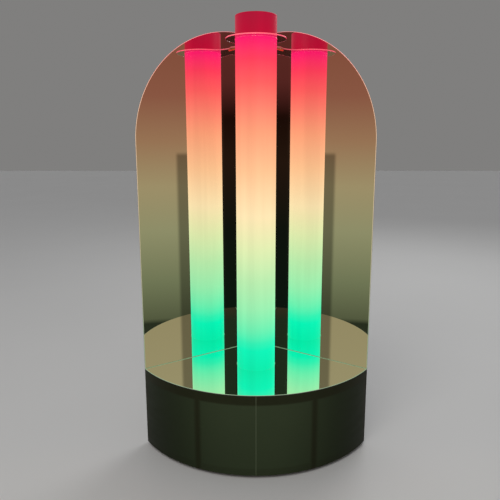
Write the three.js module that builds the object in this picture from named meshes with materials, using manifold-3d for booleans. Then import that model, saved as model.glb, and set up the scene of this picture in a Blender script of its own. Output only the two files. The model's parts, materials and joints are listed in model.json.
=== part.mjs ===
// A floor-standing light sculpture: a glowing opal tube on a round-fronted plinth with a mirrored
// top, in front of two arch-topped mirror wings that open like a book.  Millimetres, +Z up.
// The plan is a sector of a circle: its vertex is the line where the wings meet, its round side
// faces -Y.  The exported group's origin is on the floor, below the centre of the whole object.

import * as THREE from "three";
import { mergeVertices } from "three/addons/utils/BufferGeometryUtils.js";
import Module from "manifold-3d";

const wasm = await Module();
wasm.setup();

// ---------------------------------------------------------------- driving dimensions
const RADIUS = 350; // plan radius of the plinth and reach of each wing
const HALF_ANGLE = THREE.MathUtils.degToRad(56); // from the plan's centre line to each wing
const GAP = 0.3; // left between pieces that touch
const PLINTH_TOP = 217;
const FOOT_HEIGHT = 8;
const MIRROR_THICK = 3;
const BOARD_THICK = 9; // rear boards
const BOARD_INSET = 5; // how far a board's edge is inside its mirror's
const BOTTOM_THICK = 18;
const DECK_THICK = 22.3;
const SKIN_THICK = 3;

const ARCH_HEIGHT = 862; // top of the arch above the plinth
const ARCH_RADIUS = 280;
const ARCH_CENTRE = RADIUS - ARCH_RADIUS; // how far the arch's peak is from the corner

const TUBE_Y = -160; // the tube's axis, from the corner
const TUBE_RADIUS = 50;
const TUBE_WALL = 3;
const TUBE_TOP = 1093;
const TUBE_BOTTOM = 165.3;
const COLLAR_Z = 1039.5; // underside of the clear collar
const COLLAR_THICK = 3;
const COLLAR_RADIUS = 73;

const RIB_ANGLE = THREE.MathUtils.degToRad(24);
const RIB_WIDTH = 15;
const RIB_DEPTH = 40;

// levels and places worked out from them
const BOTTOM_Z = FOOT_HEIGHT + GAP;
const DECK_TOP = PLINTH_TOP - MIRROR_THICK - GAP;
const DECK_Z = DECK_TOP - DECK_THICK;
const FRAME_RADIUS = RADIUS - SKIN_THICK - GAP; // outer radius of the timber frame
const BOARD_FRONT = MIRROR_THICK + GAP; // depths behind a wing's mirror face
const BOARD_BACK = BOARD_FRONT + BOARD_THICK;
const ANGLE_FRONT = BOARD_BACK + GAP;
const ANGLE_BACK = ANGLE_FRONT + 2;
const SECTOR_END = HALF_ANGLE + Math.asin((MIRROR_THICK - GAP) / RADIUS);
const CORNER_BACK = ANGLE_BACK / Math.sin(HALF_ANGLE);

// ---------------------------------------------------------------- materials
const paint = (color, roughness, metalness = 0, extra = {}) =>
  new THREE.MeshStandardMaterial({ color, roughness, metalness, ...extra });
const silver = paint(0xc9cbc8, 0.03, 1);
const blackBoard = paint(0x23241f, 0.65);
const timber = paint(0x3a3022, 0.7);
const smokedSkin = paint(0x3c4438, 0.35);
const clearAcrylic = paint(0xe8f2f0, 0.05, 0, { transparent: true, opacity: 0.3 });
const opal = paint(0xf3ece4, 0.4, 0, { emissive: 0xff8a70 });
const aluminium = paint(0xb9bbbd, 0.35, 1);
const brass = paint(0xc98a4b, 0.3, 1);
const steel = paint(0x8d8f92, 0.35, 1);
const rubber = paint(0x151515, 0.85);
const blackPlastic = paint(0x1b1b1d, 0.45);
const whitePlastic = paint(0xe6e6e2, 0.5);
const circuitBoard = paint(0xf0f0ea, 0.5);

// ---------------------------------------------------------------- solids
function toSolid(geometry) {
  const bare = geometry.clone();
  bare.deleteAttribute("normal");
  bare.deleteAttribute("uv");
  const merged = mergeVertices(bare, 1e-3);
  return new wasm.Manifold(
    new wasm.Mesh({
      numProp: 3,
      vertProperties: merged.attributes.position.array,
      triVerts: new Uint32Array(merged.index.array),
    }),
  );
}

function toGeometry(solid) {
  const { vertProperties, triVerts } = solid.getMesh();
  const geometry = new THREE.BufferGeometry();
  geometry.setAttribute("position", new THREE.BufferAttribute(new Float32Array(vertProperties), 3));
  geometry.setIndex(new THREE.BufferAttribute(new Uint32Array(triVerts), 1));
  geometry.computeVertexNormals();
  return geometry;
}

const cut = (geometry, cutters) =>
  toGeometry(cutters.reduce((left, tool) => left.subtract(toSolid(tool)), toSolid(geometry)));

const join = (geometries) =>
  toGeometry(geometries.map(toSolid).reduce((whole, piece) => whole.add(piece)));

// A flat shape drawn in plan, from one height to another.
function slab(shape, z0, z1, curveSegments = 24) {
  const depth = z1 - z0;
  const geometry = new THREE.ExtrudeGeometry(shape, { depth, bevelEnabled: false, curveSegments });
  return geometry.translate(0, 0, z0);
}

// A profile of [radius, height] points turned about the vertical axis.
function turned(points, segments = 32) {
  const profile = points.map(([r, z]) => new THREE.Vector2(r, z));
  if (!THREE.ShapeUtils.isClockWise(profile)) profile.push(profile[0].clone());
  else profile.reverse().push(profile[0].clone());
  return new THREE.LatheGeometry(profile, segments).rotateX(Math.PI / 2);
}

const rod = (radius, z0, z1, segments = 24) =>
  turned([[0, z0], [radius, z0], [radius, z1], [0, z1]], segments);

const block = (dx, dy, dz) => new THREE.BoxGeometry(dx, dy, dz);

function rectangle(x0, y0, x1, y1, Kind = THREE.Shape) {
  return new Kind([[x0, y0], [x1, y0], [x1, y1], [x0, y1]].map(([x, y]) => new THREE.Vector2(x, y)));
}

function circlePath(x, y, radius) {
  const path = new THREE.Path();
  path.absarc(x, y, radius, 0, 2 * Math.PI, false);
  return path;
}

// ---------------------------------------------------------------- the scene graph
const lamp = new THREE.Group();
lamp.position.y = (RADIUS - CORNER_BACK) / 2;

function put(parent, name, geometry, material) {
  const mesh = new THREE.Mesh(geometry, material);
  mesh.name = name;
  parent.add(mesh);
  return mesh;
}

// A wing's own frame: +X runs out along the wing, -Y is its mirrored side, +Y its back.
const WING_TURN = HALF_ANGLE - Math.PI / 2;
function wingFrame(side) {
  const half = new THREE.Group();
  half.scale.x = side;
  const wing = new THREE.Group();
  wing.rotation.z = WING_TURN;
  half.add(wing);
  lamp.add(half);
  return wing;
}
const wings = { left: wingFrame(-1), right: wingFrame(1) };

// A shape drawn upright on a wing as (along, up), filling the depths y0 to y1.
function upright(shape, y0, y1, curveSegments = 24) {
  const depth = y1 - y0;
  const geometry = new THREE.ExtrudeGeometry(shape, { depth, bevelEnabled: false, curveSegments });
  return geometry.rotateX(Math.PI / 2).translate(0, y1, 0);
}

// Cuts a wing's plate on the mitre where it meets the other wing.
function mitred(geometry) {
  const beyond = block(400, 400, 3000).translate(-200 + GAP / 2, 0, 0).rotateZ(-WING_TURN);
  return cut(geometry, [beyond]);
}

// ---------------------------------------------------------------- screws
const SCREW_SHANK = 1.6;
const SCREW_DRILL = 1.9;
const screwSolid = (length) =>
  turned(
    [[0, -length], [SCREW_SHANK, -length], [SCREW_SHANK, 0], [3.6, 0], [3.6, 0.9], [2.6, 1.7], [0, 1.9]],
    10,
  );

// A frame at a point, whose +Z leaves the surface: the screw goes in along -Z.
function facing(point, outward) {
  const turn = new THREE.Quaternion().setFromUnitVectors(new THREE.Vector3(0, 0, 1), outward);
  return new THREE.Matrix4().compose(point, turn, new THREE.Vector3(1, 1, 1));
}
const screwAt = (point, outward, length) =>
  screwSolid(length).applyMatrix4(facing(point.clone().addScaledVector(outward, GAP), outward));
const drillAt = (point, outward, length) =>
  rod(SCREW_DRILL, -length - 1, 2, 10).applyMatrix4(facing(point, outward));

// ---------------------------------------------------------------- plinth
const radial = (angle, radius, z) =>
  new THREE.Vector3(radius * Math.sin(angle), -radius * Math.cos(angle), z);

function sector(radius) {
  const shape = new THREE.Shape();
  const end = SECTOR_END - Math.PI / 2;
  shape.moveTo(0, (MIRROR_THICK - GAP) / Math.sin(HALF_ANGLE));
  shape.lineTo(radius * Math.cos(end), radius * Math.sin(end));
  shape.absarc(0, 0, radius, end, -Math.PI - end, true);
  shape.closePath();
  return shape;
}

const SOCKET_FLANGE = 76;
const socketScrews = [30, 150, 270].map((degrees) => {
  const angle = THREE.MathUtils.degToRad(degrees);
  return new THREE.Vector3(67 * Math.cos(angle), TUBE_Y + 67 * Math.sin(angle), DECK_Z - 6.3);
});
const DOWN = new THREE.Vector3(0, 0, -1);
const socketDrills = socketScrews.map((point) => drillAt(point, DOWN, 20));

function addPlinth() {
  const tubeHole = (radius) => circlePath(0, TUBE_Y, radius);

  const bottom = slab(sector(FRAME_RADIUS), BOTTOM_Z, BOTTOM_Z + BOTTOM_THICK);
  put(lamp, "bottom_board", bottom, timber);

  const deck = sector(FRAME_RADIUS);
  deck.holes.push(tubeHole(TUBE_RADIUS + 0.9));
  put(lamp, "deck_board", cut(slab(deck, DECK_Z, DECK_TOP), socketDrills), timber);

  const top = sector(RADIUS);
  top.holes.push(tubeHole(TUBE_RADIUS + 0.6));
  put(lamp, "plinth_top_mirror", slab(top, PLINTH_TOP - MIRROR_THICK, PLINTH_TOP, 28), silver);

  for (const [side, name] of [[-1, "front_skin_left"], [1, "front_skin_right"]]) {
    const seam = -Math.PI / 2 + side * (GAP / 2 / RADIUS);
    const end = -Math.PI / 2 + side * (SECTOR_END - GAP / RADIUS);
    const shape = new THREE.Shape();
    shape.absarc(0, 0, RADIUS, seam, end, side < 0);
    shape.absarc(0, 0, RADIUS - SKIN_THICK, end, seam, side > 0);
    shape.closePath();
    put(lamp, name, slab(shape, BOTTOM_Z, DECK_TOP, 20), smokedSkin);
  }

  // Ribs hold the skin's curve, and a post closes each corner of the frame.
  const foot = BOTTOM_Z + BOTTOM_THICK + GAP;
  const height = DECK_Z - GAP - foot;
  for (const [side, hand] of [[-1, "left"], [1, "right"]]) {
    const timberBlock = () => block(RIB_WIDTH, RIB_DEPTH, height).translate(0, 0, foot + height / 2);
    const rib = put(lamp, `frame_rib_${hand}`, timberBlock(), timber);
    rib.position.copy(radial(side * RIB_ANGLE, FRAME_RADIUS - RIB_DEPTH / 2 - 1, 0));
    rib.rotation.z = side * RIB_ANGLE;
    const post = put(wings[hand], `corner_post_${hand}`, timberBlock(), timber);
    post.position.set(FRAME_RADIUS - RIB_DEPTH / 2 - 1, MIRROR_THICK - 2 * GAP - RIB_WIDTH / 2, 0);
    post.rotation.z = Math.PI / 2;
  }

  const footPlaces = [[0, -40], [-225, -190], [225, -190], [0, -310]];
  footPlaces.forEach(([x, y], i) => {
    const profile = [[0, 0], [13, 0], [15, 2], [15, FOOT_HEIGHT], [0, FOOT_HEIGHT]];
    put(lamp, `rubber_foot_${i + 1}`, turned(profile), rubber).position.set(x, y, 0);
  });
}

// ---------------------------------------------------------------- wings
const SPRING_Z = PLINTH_TOP + ARCH_HEIGHT - ARCH_RADIUS; // where the arch starts to curve
const PEG_ALONG = 74;
const PEG_RADIUS = 3;
const PEG_Z = COLLAR_Z - GAP - PEG_RADIUS;
const PEG_SHANK = 2.5;
const ARCH_SEGMENTS = 32;

// An arch-topped plate that starts at z0 and reaches past the corner, for the mitre cut.
function archShape(z0, inset = 0) {
  const radius = ARCH_RADIUS - inset;
  const past = -20;
  const shape = new THREE.Shape();
  const last = Math.acos((past - ARCH_CENTRE) / radius);
  shape.moveTo(past, z0);
  shape.lineTo(ARCH_CENTRE + radius, z0);
  shape.absarc(ARCH_CENTRE, SPRING_Z, radius, 0, last, false);
  shape.closePath();
  shape.holes.push(circlePath(PEG_ALONG, PEG_Z, PEG_SHANK + 0.4));
  return shape;
}

const CONTROL_ALONG = 170;
const CONTROL_Z = 112;
const CONTROL_WIDTH = 124;
const CONTROL_HEIGHT = 56;
const controlScrews = [[-1, -1], [-1, 1], [1, -1], [1, 1]].map(
  ([x, z]) =>
    new THREE.Vector3(
      CONTROL_ALONG + x * (CONTROL_WIDTH / 2 - 7),
      ANGLE_FRONT + 2,
      CONTROL_Z + z * (CONTROL_HEIGHT / 2 - 7),
    ),
);
const BACKWARD = new THREE.Vector3(0, 1, 0);
const ANGLE_LEG = 30;
const angleScrews = [150, 560, 960].map((z) => new THREE.Vector3(ANGLE_LEG - 10, ANGLE_BACK, z));
const angleDrills = angleScrews.map((point) => drillAt(point, BACKWARD, 8));
const VENT_SLOTS = [110, 130, 150, 170, 190, 210, 230];
const controlDrills = controlScrews.map((point) => drillAt(point, BACKWARD, 8));

function addWing(side) {
  const wing = wings[side];
  const mirror = upright(archShape(PLINTH_TOP + GAP), 0, MIRROR_THICK, ARCH_SEGMENTS);
  put(wing, `wing_mirror_${side}`, mitred(mirror), silver);

  const middle = (BOARD_FRONT + BOARD_BACK) / 2;
  const openings =
    side === "right"
      ? [block(CONTROL_WIDTH - 28, 20, CONTROL_HEIGHT - 10).translate(CONTROL_ALONG, middle, CONTROL_Z)]
      : VENT_SLOTS.map((x) => block(3.6, 20, 70).translate(x, middle, CONTROL_Z));
  const drills = side === "right" ? [...angleDrills, ...controlDrills] : angleDrills;
  const outline = archShape(BOTTOM_Z, BOARD_INSET);
  const board = mitred(upright(outline, BOARD_FRONT, BOARD_BACK, ARCH_SEGMENTS));
  put(wing, `rear_board_${side}`, cut(board, [...openings, ...drills]), blackBoard);

  angleScrews.forEach((point, i) =>
    put(wing, `angle_screw_${side}_${i + 1}`, screwAt(point, BACKWARD, 8), steel),
  );

  // The peg stands out of the mirror's face; its shank goes through to a nut behind the board.
  const peg = turned([
    [0, -20], [PEG_SHANK, -20], [PEG_SHANK, GAP], [PEG_RADIUS, GAP],
    [PEG_RADIUS, 15], [PEG_RADIUS - 0.8, 16], [0, 16],
  ]);
  put(wing, `collar_peg_${side}`, peg.rotateX(Math.PI / 2), brass).position.set(PEG_ALONG, 0, PEG_Z);

  const hexagon = new THREE.Shape(
    [0, 1, 2, 3, 4, 5].map((i) => {
      const angle = (i * Math.PI) / 3;
      return new THREE.Vector2(PEG_ALONG + 5 * Math.cos(angle), PEG_Z + 5 * Math.sin(angle));
    }),
  );
  hexagon.holes.push(circlePath(PEG_ALONG, PEG_Z, PEG_SHANK + 0.3));
  put(wing, `peg_nut_${side}`, upright(hexagon, ANGLE_FRONT, ANGLE_FRONT + 4, 8), brass);
}

// The aluminium angle that ties the two boards together down the back of the corner.
function addCornerAngle() {
  const onWing = (along, depth) =>
    new THREE.Vector2(along, depth).rotateAround(new THREE.Vector2(), WING_TURN);
  const right = [onWing(ANGLE_LEG, ANGLE_FRONT), onWing(ANGLE_LEG, ANGLE_BACK)];
  const left = right.map((p) => new THREE.Vector2(-p.x, p.y)).reverse();
  const inner = new THREE.Vector2(0, ANGLE_FRONT / Math.sin(HALF_ANGLE));
  const outer = new THREE.Vector2(0, CORNER_BACK);
  const bar = slab(new THREE.Shape([inner, ...right, outer, ...left]), BOTTOM_Z, 1060);
  const up = new THREE.Vector3(0, 0, 1);
  const drills = angleScrews.flatMap((point) => {
    const place = point.clone().applyAxisAngle(up, WING_TURN);
    const outward = BACKWARD.clone().applyAxisAngle(up, WING_TURN);
    const flip = new THREE.Vector3(-1, 1, 1);
    return [
      drillAt(place, outward, 8),
      drillAt(place.clone().multiply(flip), outward.clone().multiply(flip), 8),
    ];
  });
  put(lamp, "corner_angle", cut(bar, drills), aluminium);
}

// ---------------------------------------------------------------- collar
// Seen from above: a ring round the tube that narrows to a waist and flares to the two mirrors.
function addCollar() {
  const waist = 42;
  const waistY = -82;
  const reach = waistY - TUBE_Y;
  const r = COLLAR_RADIUS;
  // radius of the waist's hollow curve, which is tangent to the ring
  const hollow = (waist * waist + reach * reach - r * r) / (2 * (r - waist));
  const cx = waist + hollow;
  const touch = Math.atan2(reach, cx); // direction from the tube to the hollow's centre
  // where the hollow meets the mirror's face, kept clear of it
  const slope = -1 / Math.tan(HALF_ANGLE);
  const back = -0.6 / Math.sin(HALF_ANGLE);
  const a = 1 + slope * slope;
  const b = -2 * cx + 2 * slope * (back - waistY);
  const c = cx * cx + (back - waistY) ** 2 - hollow * hollow;
  const endX = (-b - Math.sqrt(b * b - 4 * a * c)) / (2 * a);
  const endAngle = Math.atan2(back + slope * endX - waistY, endX - cx);

  const shape = new THREE.Shape();
  shape.moveTo(0, back);
  shape.absarc(-cx, waistY, hollow, Math.PI - endAngle, -touch, true);
  shape.absarc(0, TUBE_Y, r, Math.PI - touch, 2 * Math.PI + touch, false);
  shape.absarc(cx, waistY, hollow, Math.PI + touch, endAngle, true);
  shape.closePath();
  shape.holes.push(circlePath(0, TUBE_Y, TUBE_RADIUS + 0.6));
  put(lamp, "collar_plate", slab(shape, COLLAR_Z, COLLAR_Z + COLLAR_THICK, 24), clearAcrylic);
}

// ---------------------------------------------------------------- socket under the deck
function addSocket() {
  const top = DECK_Z - GAP;
  const bore = TUBE_RADIUS + 0.5;
  const floor = TUBE_BOTTOM - GAP;
  const cup = turned(
    [
      [12, floor - 5], [58, floor - 5], [58, top - 6], [SOCKET_FLANGE, top - 6],
      [SOCKET_FLANGE, top], [bore, top], [bore, floor], [12, floor],
    ],
    48,
  ).translate(0, TUBE_Y, 0);
  put(lamp, "tube_socket", cut(cup, socketDrills), blackPlastic);
  socketScrews.forEach((point, i) =>
    put(lamp, `socket_screw_${i + 1}`, screwAt(point, DOWN, 20), steel),
  );
  const contact = turned([
    [0, floor - 12], [18, floor - 12], [18, floor - 5 - GAP], [11.7, floor - 5 - GAP],
    [11.7, floor + 1], [4, floor + 1], [4, floor + 4], [0, floor + 4],
  ]);
  put(lamp, "contact_block", contact.translate(0, TUBE_Y, 0), brass);
}

// ---------------------------------------------------------------- the light tube, which lifts out
const CORE_SIDE = 34; // the LED core is a three-sided aluminium tube
const CORE_TOP = 1042;
const PLUG_TOP = TUBE_BOTTOM + 15;
const CORE_INRADIUS = CORE_SIDE / (2 * Math.sqrt(3));

function triangle(inradius, Kind = THREE.Shape) {
  const corners = [30, 150, 270].map((degrees) => {
    const angle = THREE.MathUtils.degToRad(degrees);
    return new THREE.Vector2(2 * inradius * Math.cos(angle), 2 * inradius * Math.sin(angle));
  });
  return new Kind(corners);
}

function ledStrip(z0, z1) {
  const face = CORE_INRADIUS + GAP;
  const tape = block(10, 1.2, z1 - z0).translate(0, face + 0.6, (z0 + z1) / 2);
  const chips = [];
  for (let z = z0 + 16; z < z1 - 8; z += 33.3) {
    chips.push(block(5, 1.6, 5).translate(0, face + 1.9, z));
  }
  return join([tape, ...chips]);
}

function addLightTube() {
  const tube = new THREE.Group();
  tube.position.y = TUBE_Y;
  lamp.add(tube);
  const inner = TUBE_RADIUS - TUBE_WALL;
  const fit = inner - GAP;
  const shellTop = TUBE_TOP - 3 - GAP;

  const shell = [
    [inner, TUBE_BOTTOM], [TUBE_RADIUS, TUBE_BOTTOM], [TUBE_RADIUS, shellTop], [inner, shellTop],
  ];
  put(tube, "diffuser_tube", turned(shell, 48), opal);

  const lid = [
    [0, TUBE_TOP - 3], [fit - 3, TUBE_TOP - 3], [fit - 3, TUBE_TOP - 13], [fit, TUBE_TOP - 13],
    [fit, TUBE_TOP - 3], [TUBE_RADIUS, TUBE_TOP - 3], [TUBE_RADIUS, TUBE_TOP - 1],
    [TUBE_RADIUS - 1, TUBE_TOP], [0, TUBE_TOP],
  ];
  put(tube, "tube_top_cap", turned(lid, 48), opal);

  const plug = [
    [13, TUBE_BOTTOM], [fit, TUBE_BOTTOM], [fit, PLUG_TOP], [6, PLUG_TOP],
    [6, PLUG_TOP + 20], [0, PLUG_TOP + 20], [0, TUBE_BOTTOM + 7], [13, TUBE_BOTTOM + 7],
  ];
  put(tube, "tube_base_plug", turned(plug, 48), whitePlastic);

  const core = triangle(CORE_INRADIUS);
  core.holes.push(triangle(CORE_INRADIUS - 2, THREE.Path));
  put(tube, "led_core", slab(core, PLUG_TOP + GAP, CORE_TOP), aluminium);

  [0, 120, 240].forEach((degrees, i) => {
    const strip = put(tube, `led_strip_${i + 1}`, ledStrip(PLUG_TOP + 10, CORE_TOP - 8), circuitBoard);
    strip.rotation.z = THREE.MathUtils.degToRad(degrees);
  });

  const ring = [[20.5, 610], [fit, 610], [fit, 613], [20.5, 613]];
  put(tube, "core_spacer_ring", turned(ring, 48), clearAcrylic);

  const stop = [
    [0, CORE_TOP - 14], [6, CORE_TOP - 14], [6, CORE_TOP + GAP], [fit, CORE_TOP + GAP],
    [fit, CORE_TOP + 3], [0, CORE_TOP + 3],
  ];
  put(tube, "light_stop_disc", turned(stop, 48), whitePlastic);
}

// ---------------------------------------------------------------- controls on the right board's back
// In this frame +Z leaves the plate's outer face, +Y is up and the origin is the face's centre.
const PLATE_THICK = 2;
const ROCKER_X = 38;
const JACK_X = 12;
const BUTTON_X = -12;
const KNOB_X = -38;
const JACK_DEPTH = 12;
const REST_TILT = THREE.MathUtils.degToRad(8);

function addControls() {
  const panel = new THREE.Group();
  panel.position.set(CONTROL_ALONG, ANGLE_FRONT + PLATE_THICK, CONTROL_Z);
  panel.rotation.set(Math.PI / 2, Math.PI, 0);
  wings.right.add(panel);

  const [w, h] = [CONTROL_WIDTH / 2, CONTROL_HEIGHT / 2];
  const face = rectangle(-w, -h, w, h);
  face.holes.push(
    rectangle(ROCKER_X - 9.8, -7.3, ROCKER_X + 9.8, 7.3, THREE.Path),
    circlePath(JACK_X, 0, 5.6),
    circlePath(BUTTON_X, 0, 4),
    circlePath(KNOB_X, 0, 3.4),
  );
  for (const x of [-1, 1]) {
    for (const y of [-1, 1]) face.holes.push(circlePath(x * (w - 7), y * (h - 7), SCREW_DRILL));
  }
  put(panel, "control_plate", slab(face, -PLATE_THICK, 0, 10), aluminium);

  // Rocker housing: a bezel outside the plate and a cup behind it.
  const bezel = block(23, 18, 1.5).translate(0, 0, GAP + 0.75);
  const body = block(19, 14, 13).translate(0, 0, GAP + 0.5 - 6.5);
  const well = block(17, 11.4, 12).translate(0, 0, 0.5);
  const housing = put(panel, "switch_housing", cut(join([bezel, body]), [well]), blackPlastic);
  housing.position.x = ROCKER_X;

  const side = [[-7.6, 3.4], [0, 2.3], [7.6, 3.4], [7.4, -0.5], [3, -3.5], [-3, -3.5], [-7.4, -0.5]];
  const outline = new THREE.Shape(side.map(([x, y]) => new THREE.Vector2(x, y)));
  const rocker = slab(outline, -5.2, 5.2).rotateX(Math.PI / 2).rotateY(-REST_TILT);
  put(panel, "switch_rocker", rocker, blackPlastic).position.set(ROCKER_X, 0, 0.6);

  const jack = [
    [0, -0.5], [1, -0.5], [1, -9], [2.8, -9], [2.8, 2.3], [7, 2.3], [7, GAP], [5.3, GAP],
    [5.3, -JACK_DEPTH], [0, -JACK_DEPTH],
  ];
  put(panel, "power_jack", turned(jack), blackPlastic).position.x = JACK_X;

  const button = [[0, -5], [3.6, -5], [3.6, 2.4], [3, 3], [0, 3]];
  put(panel, "mode_button", turned(button), whitePlastic).position.x = BUTTON_X;

  // The board behind the plate carries the button's switch and the knob's potentiometer.
  const board = join([
    block(46, 36, 1.6).translate(-26, 0, -13.8),
    block(7, 7, 6.4).translate(BUTTON_X, 0, -10),
    rod(8, -13.5, -10 - GAP, 16).translate(KNOB_X, 0, 0),
  ]);
  put(panel, "control_board", board, circuitBoard);

  const grip = turned([[0, 0.6], [10.5, 0.6], [10, 12], [9, 13], [0, 13]], 40);
  const pointer = block(1.6, 8, 3).translate(0, 6, 13);
  const shaft = rod(3, -10, 2);
  put(panel, "brightness_knob", join([cut(grip, [pointer]), shaft]), blackPlastic).position.x = KNOB_X;
}

// ---------------------------------------------------------------- electronics in the plinth
function lead(points, radius) {
  const path = new THREE.CatmullRomCurve3(points.map((p) => new THREE.Vector3(...p)));
  const section = new THREE.Shape(
    Array.from({ length: 8 }, (_, i) => {
      const angle = (i * Math.PI) / 4;
      return new THREE.Vector2(radius * Math.cos(angle), radius * Math.sin(angle));
    }),
  );
  return new THREE.ExtrudeGeometry(section, { steps: 24, extrudePath: path });
}

const CONTROLLER = { x: 70, y: -215, width: 96, depth: 60, height: 26 };

function addElectronics() {
  const { x, y, width, depth, height } = CONTROLLER;
  const floor = BOTTOM_Z + BOTTOM_THICK + GAP;
  const lidded = join([
    block(width, depth, height).translate(0, 0, height / 2),
    block(width + 24, 22, 2.5).translate(0, 0, 1.25),
    block(width - 16, depth - 14, 2).translate(0, 0, height + 0.5),
  ]);
  put(lamp, "pixel_controller", lidded.translate(x, y, floor), blackPlastic);

  const up = new THREE.Vector3(0, 0, 1);
  const jackDepth = ANGLE_FRONT + PLATE_THICK - JACK_DEPTH - GAP;
  const jackEnd = new THREE.Vector3(CONTROL_ALONG - JACK_X, jackDepth, CONTROL_Z);
  jackEnd.applyAxisAngle(up, WING_TURN);
  const inward = new THREE.Vector3(0, -18, 0).applyAxisAngle(up, WING_TURN);
  const port = [x + 20, y + depth / 2 + 1, floor + 14];
  const supply = lead(
    [
      jackEnd.toArray(),
      jackEnd.clone().add(inward).toArray(),
      [port[0] + 4, port[1] + 26, floor + 34],
      [port[0], port[1] + 10, floor + 15],
      port,
    ],
    2.4,
  );
  put(lamp, "supply_lead", supply, rubber);

  const socketBottom = TUBE_BOTTOM - GAP - 12 - GAP;
  const output = [x - width / 2 - 1, y, floor + 14];
  const feed = lead(
    [
      output,
      [output[0] - 14, y + 2, floor + 14],
      [-6, TUBE_Y - 22, floor + 40],
      [0, TUBE_Y, socketBottom - 30],
      [0, TUBE_Y, socketBottom],
    ],
    2.4,
  );
  put(lamp, "tube_feed_lead", feed, rubber);
}

addPlinth();
addWing("left");
addWing("right");
addCornerAngle();
addCollar();
addSocket();
addLightTube();
addControls();
controlScrews.forEach((point, i) =>
  put(wings.right, `plate_screw_${i + 1}`, screwAt(point, BACKWARD, 8), steel),
);
addElectronics();

export default lamp;
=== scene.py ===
"""Looks of the tube light sculpture: camera, studio, materials and the detailed pieces.
Metres, +Z up, the rounded front of the plinth towards -Y."""

import json
import math

import bmesh
import bpy
from mathutils import Matrix, Vector


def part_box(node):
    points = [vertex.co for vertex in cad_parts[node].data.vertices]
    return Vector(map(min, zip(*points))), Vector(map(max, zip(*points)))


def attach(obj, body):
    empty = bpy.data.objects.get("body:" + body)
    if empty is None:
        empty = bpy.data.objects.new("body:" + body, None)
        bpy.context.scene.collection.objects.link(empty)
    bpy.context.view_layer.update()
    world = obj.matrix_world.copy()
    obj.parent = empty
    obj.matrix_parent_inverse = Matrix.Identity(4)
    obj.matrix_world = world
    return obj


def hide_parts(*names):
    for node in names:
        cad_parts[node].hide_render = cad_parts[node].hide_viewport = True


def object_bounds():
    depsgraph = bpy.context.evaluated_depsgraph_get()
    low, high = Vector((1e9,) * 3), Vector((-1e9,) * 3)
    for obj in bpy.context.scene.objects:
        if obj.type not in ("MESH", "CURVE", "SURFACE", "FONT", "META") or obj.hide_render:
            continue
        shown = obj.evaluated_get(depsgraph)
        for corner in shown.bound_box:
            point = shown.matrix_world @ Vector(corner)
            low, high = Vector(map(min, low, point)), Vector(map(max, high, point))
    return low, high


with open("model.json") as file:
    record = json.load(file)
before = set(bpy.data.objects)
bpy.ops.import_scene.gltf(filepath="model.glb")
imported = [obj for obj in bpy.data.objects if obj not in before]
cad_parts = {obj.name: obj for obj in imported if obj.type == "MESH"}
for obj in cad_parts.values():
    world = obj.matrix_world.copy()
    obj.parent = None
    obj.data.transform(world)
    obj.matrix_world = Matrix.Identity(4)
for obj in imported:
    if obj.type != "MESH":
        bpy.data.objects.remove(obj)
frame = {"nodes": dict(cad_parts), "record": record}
cad_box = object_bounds()

# ------------------------------------------------------- driving dimensions, as the CAD has them
RADIUS = 0.350
HALF_ANGLE = math.radians(56)
GAP = 0.0003
MIRROR_THICK = 0.003
SKIN_THICK = 0.003
ARCH_RADIUS = 0.280
ARCH_CENTRE = RADIUS - ARCH_RADIUS
TUBE_RADIUS = 0.050
TUBE_WALL = 0.003
COLLAR_RADIUS = 0.073
COLLAR_WAIST = 0.042
COLLAR_WAIST_Y = -0.082  # from the corner of the wings
CLEAR = 0.0006  # round the tube, and behind the collar
RIB_THICK = 0.015
PEG_ALONG = 0.074
PEG_RADIUS = 0.003
BOARD_THICK = 0.009
BOARD_INSET = 0.005
BOARD_START = -0.0017  # before the corner, where its mitre begins
RIB_ANGLE = math.radians(24)
ANGLE_LEG = 0.030
METAL_THICK = 0.002  # of the corner angle and of the control plate
ANGLE_SCREW_Z = (0.150, 0.560, 0.960)
PANEL_ALONG = 0.170
PANEL_Z = 0.112
PANEL_WIDTH = 0.124
PANEL_HEIGHT = 0.056
VENT_SLOTS = (0.110, 0.130, 0.150, 0.170, 0.190, 0.210, 0.230)
ROCKER_X = 0.038
JACK_X = 0.012
BUTTON_X = -0.012
KNOB_X = -0.038
REST_TILT = math.radians(8)  # of the rocker
HANDS = ((-1, "left"), (1, "right"))  # the side of X that each wing is on

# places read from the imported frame
FLOOR_Z = cad_box[0][2]
TOP_LOW, TOP_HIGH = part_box("plinth_top_mirror")
PLINTH_TOP = TOP_HIGH[2]
CORNER_Y = TOP_LOW[1] + RADIUS
TUBE_LOW, TUBE_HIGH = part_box("diffuser_tube")
TUBE_Y = (TUBE_LOW[1] + TUBE_HIGH[1]) / 2
CAP_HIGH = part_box("tube_top_cap")[1]
COLLAR_LOW, COLLAR_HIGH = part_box("collar_plate")
SKIN_LOW, SKIN_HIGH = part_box("front_skin_left")
DECK_LOW, DECK_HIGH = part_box("deck_board")
BOTTOM_LOW, BOTTOM_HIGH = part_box("bottom_board")
ARCH_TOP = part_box("wing_mirror_left")[1][2]
WING_TURN = HALF_ANGLE - math.pi / 2
BOARD_FRONT = MIRROR_THICK + GAP
ANGLE_FRONT = BOARD_FRONT + BOARD_THICK + GAP
ANGLE_BACK = ANGLE_FRONT + METAL_THICK
CORNER = Vector((0, CORNER_Y, 0))
TUBE_FROM_CORNER = TUBE_Y - CORNER_Y

# ------------------------------------------------------------------ camera
CAMERA_BACK = 1.527  # from the corner of the wings
CAMERA_UP = 0.583  # above the plinth
CAMERA_PITCH = math.radians(11.29)
CAMERA_LENS = 39.0
CAMERA_SHIFT = -0.012


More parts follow.
